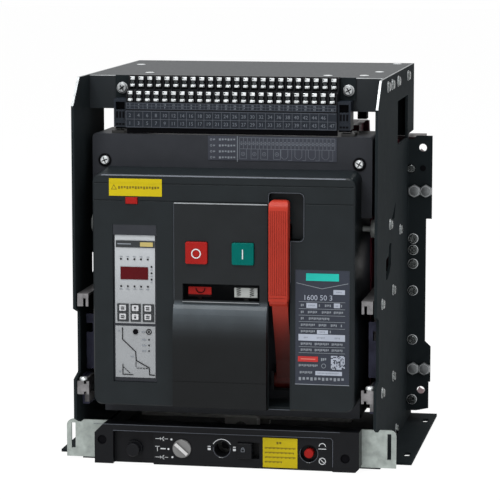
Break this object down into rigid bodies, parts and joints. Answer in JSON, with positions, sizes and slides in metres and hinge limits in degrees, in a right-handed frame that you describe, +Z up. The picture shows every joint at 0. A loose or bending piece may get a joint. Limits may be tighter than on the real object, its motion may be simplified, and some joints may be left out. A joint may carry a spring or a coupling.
{
  "type": "air circuit breaker",
  "caption": "Low-voltage draw-out air circuit breaker in its black sheet-metal cradle, with control terminals on top, trip unit, push buttons, charging handle and racking panel.",
  "frame": {"origin": "on the floor plane, in the middle of the whole width and depth", "axes": "+Z up, -Y towards the operator's side with buttons and handle, +X to the right seen from the front"},
  "size_m": [0.386, 0.417, 0.4146],
  "materials": {
    "black_steel": "satin black paint",
    "zinc_steel": "galvanised",
    "steel": "machined",
    "copper": "bare copper",
    "black_plastic": "fine grain",
    "strip_plastic": "smooth",
    "housing_plastic": "fine grain",
    "cover_plastic": "fine grain",
    "red_plastic": "smooth",
    "green_plastic": "smooth",
    "pale_plastic": "smooth",
    "panel_grey": "smooth",
    "key_plastic": "smooth",
    "grey_dial": "smooth",
    "plate_metal": "printed plate",
    "maroon_plastic": "moulded thermoset"
  },
  "bodies": {
    "cradle": {"side_plate_left": "black_steel", "side_plate_right": "black_steel", "top_plate": "black_steel", "base_plate": "black_steel", "front_crossbar": "zinc_steel", "operating_panel": "black_plastic", "screw_bearings": "steel", "rear_base": "maroon_plastic", "terminals": "copper", "contact_clusters": "copper", "shutter_guides": "black_plastic", "rail_channels": "zinc_steel", "terminal_block": "black_plastic", "terminal_clamps": "zinc_steel", "number_strip": "strip_plastic", "plug_sockets": "strip_plastic", "terminal_ends": "zinc_steel", "cradle_bolts": "zinc_steel", "cradle_screws": "zinc_steel"},
    "racking_screw": {"racking_screw": "steel"},
    "racking_carriage": {"racking_carriage": "steel"},
    "position_dial": {"position_dial": "grey_dial"},
    "latch_knob": {"latch_knob": "black_plastic"},
    "lock_slider": {"lock_slider": "black_plastic"},
    "release_button": {"release_button": "red_plastic"},
    "shutter_upper": {"shutter_upper": "black_plastic"},
    "shutter_lower": {"shutter_lower": "black_plastic"},
    "rail_left": {"rail_left": "zinc_steel"},
    "rail_right": {"rail_right": "zinc_steel"},
    "breaker": {"mechanism_housing": "housing_plastic", "housing_screws": "zinc_steel", "front_cover": "cover_plastic", "centre_panel": "cover_plastic", "front_brackets": "black_steel", "trip_unit": "panel_grey", "nameplate": "plate_metal", "pole_housing": "maroon_plastic", "stabs": "copper", "current_transformers": "black_plastic", "arc_chutes": "maroon_plastic", "mechanism_frame": "steel", "closing_spring": "steel", "release_coils": "black_plastic", "side_brackets": "zinc_steel", "nylon_guides": "pale_plastic"},
    "off_button": {"off_button": "red_plastic"},
    "on_button": {"on_button": "green_plastic"},
    "contact_flag": {"contact_flag": "red_plastic"},
    "spring_flag": {"spring_flag": "pale_plastic"},
    "charging_handle": {"charging_handle": "red_plastic"},
    "reset_tab": {"reset_tab": "red_plastic"},
    "main_shaft": {"main_shaft": "steel", "moving_contacts": "maroon_plastic"},
    "cam_shaft": {"cam_shaft": "steel"},
    "key_1": {"key_1": "key_plastic"},
    "key_2": {"key_2": "key_plastic"},
    "key_3": {"key_3": "key_plastic"},
    "key_4": {"key_4": "key_plastic"},
    "key_5": {"key_5": "key_plastic"},
    "key_6": {"key_6": "key_plastic"}
  },
  "joints": [
    {"name": "racking", "type": "slide", "parent": "cradle", "child": "racking_carriage", "axis": [0, -1, 0], "range_m": [0, 0.04]},
    {"name": "racking_screw_turn", "type": "hinge", "parent": "cradle", "child": "racking_screw", "pos_m": [-0.0048, -0.0465, 0.0203], "axis": [0, -1, 0], "range_deg": [0, 1800]},
    {"name": "position_dial_turn", "type": "hinge", "parent": "cradle", "child": "position_dial", "pos_m": [-0.0483, -0.1765, 0.0191], "axis": [0, -1, 0], "range_deg": [0, 85]},
    {"name": "shutter_upper_drop", "type": "slide", "parent": "cradle", "child": "shutter_upper", "axis": [0, 0, -1], "range_m": [0, 0.04]},
    {"name": "shutter_lower_lift", "type": "slide", "parent": "cradle", "child": "shutter_lower", "axis": [0, 0, 1], "range_m": [0, 0.04]},
    {"name": "latch_pull", "type": "slide", "parent": "cradle", "child": "latch_knob", "axis": [0, -1, 0], "range_m": [0, 0.008], "stiffness_N_per_m": 300},
    {"name": "lock_pull", "type": "slide", "parent": "cradle", "child": "lock_slider", "axis": [0, -1, 0], "range_m": [0, 0.01], "stiffness_N_per_m": 100},
    {"name": "release_push", "type": "slide", "parent": "cradle", "child": "release_button", "axis": [0, 1, 0], "range_m": [0, 0.003], "stiffness_N_per_m": 600},
    {"name": "withdraw", "type": "slide", "parent": "racking_carriage", "child": "breaker", "axis": [0, -1, 0], "range_m": [0, 0.24]},
    {"name": "rail_left_slide", "type": "slide", "parent": "cradle", "child": "rail_left", "axis": [0, -1, 0], "range_m": [0, 0.18]},
    {"name": "rail_right_slide", "type": "slide", "parent": "cradle", "child": "rail_right", "axis": [0, -1, 0], "range_m": [0, 0.18]},
    {"name": "off_push", "type": "slide", "parent": "breaker", "child": "off_button", "axis": [0, 1, 0], "range_m": [0, 0.004], "stiffness_N_per_m": 1200},
    {"name": "on_push", "type": "slide", "parent": "breaker", "child": "on_button", "axis": [0, 1, 0], "range_m": [0, 0.004], "stiffness_N_per_m": 1200},
    {"name": "reset_push", "type": "slide", "parent": "breaker", "child": "reset_tab", "axis": [0, 1, 0], "range_m": [0, 0.003], "stiffness_N_per_m": 600},
    {"name": "charging_handle_swing", "type": "hinge", "parent": "breaker", "child": "charging_handle", "pos_m": [0.0607, -0.1625, 0.095], "axis": [1, 0, 0], "range_deg": [0, 100], "stiffness_Nm_per_rad": 0.4},
    {"name": "main_shaft_turn", "type": "hinge", "parent": "breaker", "child": "main_shaft", "pos_m": [0, -0.0305, 0.19], "axis": [1, 0, 0], "range_deg": [0, 15], "stiffness_Nm_per_rad": 30},
    {"name": "contact_flag_turn", "type": "hinge", "parent": "breaker", "child": "contact_flag", "pos_m": [-0.0252, -0.1665, 0.15], "axis": [1, 0, 0], "range_deg": [-14, 0]},
    {"name": "cam_shaft_turn", "type": "hinge", "parent": "breaker", "child": "cam_shaft", "pos_m": [0, -0.1045, 0.19], "axis": [1, 0, 0], "range_deg": [0, 180]},
    {"name": "spring_flag_turn", "type": "hinge", "parent": "breaker", "child": "spring_flag", "pos_m": [0.024, -0.1665, 0.15], "axis": [1, 0, 0], "range_deg": [-14, 0]},
    {"name": "key_1_push", "type": "slide", "parent": "breaker", "child": "key_1", "axis": [0, 1, 0], "range_m": [0, 0.001], "stiffness_N_per_m": 1500},
    {"name": "key_2_push", "type": "slide", "parent": "breaker", "child": "key_2", "axis": [0, 1, 0], "range_m": [0, 0.001], "stiffness_N_per_m": 1500},
    {"name": "key_3_push", "type": "slide", "parent": "breaker", "child": "key_3", "axis": [0, 1, 0], "range_m": [0, 0.001], "stiffness_N_per_m": 1500},
    {"name": "key_4_push", "type": "slide", "parent": "breaker", "child": "key_4", "axis": [0, 1, 0], "range_m": [0, 0.001], "stiffness_N_per_m": 1500},
    {"name": "key_5_push", "type": "slide", "parent": "breaker", "child": "key_5", "axis": [0, 1, 0], "range_m": [0, 0.001], "stiffness_N_per_m": 1500},
    {"name": "key_6_push", "type": "slide", "parent": "breaker", "child": "key_6", "axis": [0, 1, 0], "range_m": [0, 0.001], "stiffness_N_per_m": 1500}
  ],
  "couplings": [
    {"joint": "racking_screw_turn", "follows": "racking", "rad_per_m": 785.39},
    {"joint": "position_dial_turn", "follows": "racking", "rad_per_m": 37.088},
    {"joint": "shutter_upper_drop", "follows": "racking", "ratio": 1},
    {"joint": "shutter_lower_lift", "follows": "racking", "ratio": 1},
    {"joint": "rail_left_slide", "follows": "withdraw", "ratio": 0.75},
    {"joint": "rail_right_slide", "follows": "withdraw", "ratio": 0.75},
    {"joint": "contact_flag_turn", "follows": "main_shaft_turn", "ratio": -0.93333},
    {"joint": "spring_flag_turn", "follows": "cam_shaft_turn", "ratio": -0.077778}
  ]
}
